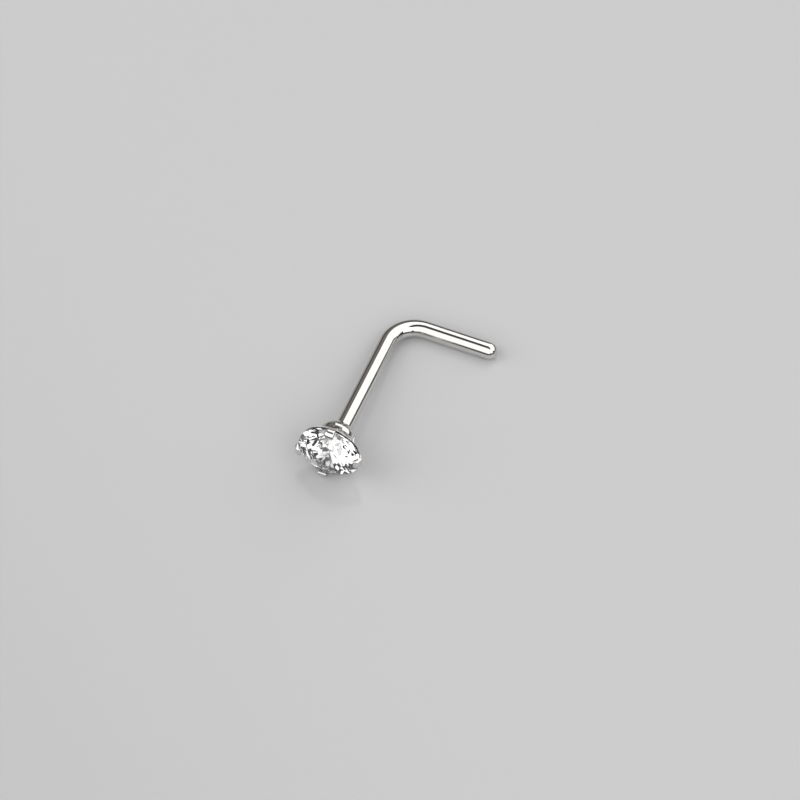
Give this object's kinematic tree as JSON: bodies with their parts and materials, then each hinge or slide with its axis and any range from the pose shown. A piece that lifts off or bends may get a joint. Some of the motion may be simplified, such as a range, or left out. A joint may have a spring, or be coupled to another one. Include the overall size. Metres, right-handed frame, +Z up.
{
  "type": "l-bend nose stud",
  "caption": "L-bend nose stud: polished round wire with a short locking leg, and a round brilliant stone held by claws in a small cup on the post's end.",
  "frame": {"origin": "bottom centre of the box round the stud as it lies on a table", "axes": "+X along the short leg towards its rounded tip; +Y along the post, away from the stone, seen from above; +Z up from the table"},
  "size_m": [0.0066, 0.0096, 0.0032],
  "materials": {
    "steel": "mirror-polished surgical steel, faintly warm grey",
    "stone": "clear colourless cubic zirconia, polished facets"
  },
  "bodies": {
    "root": {"wire_and_setting": "steel", "stone": "stone"}
  },
  "joints": []
}
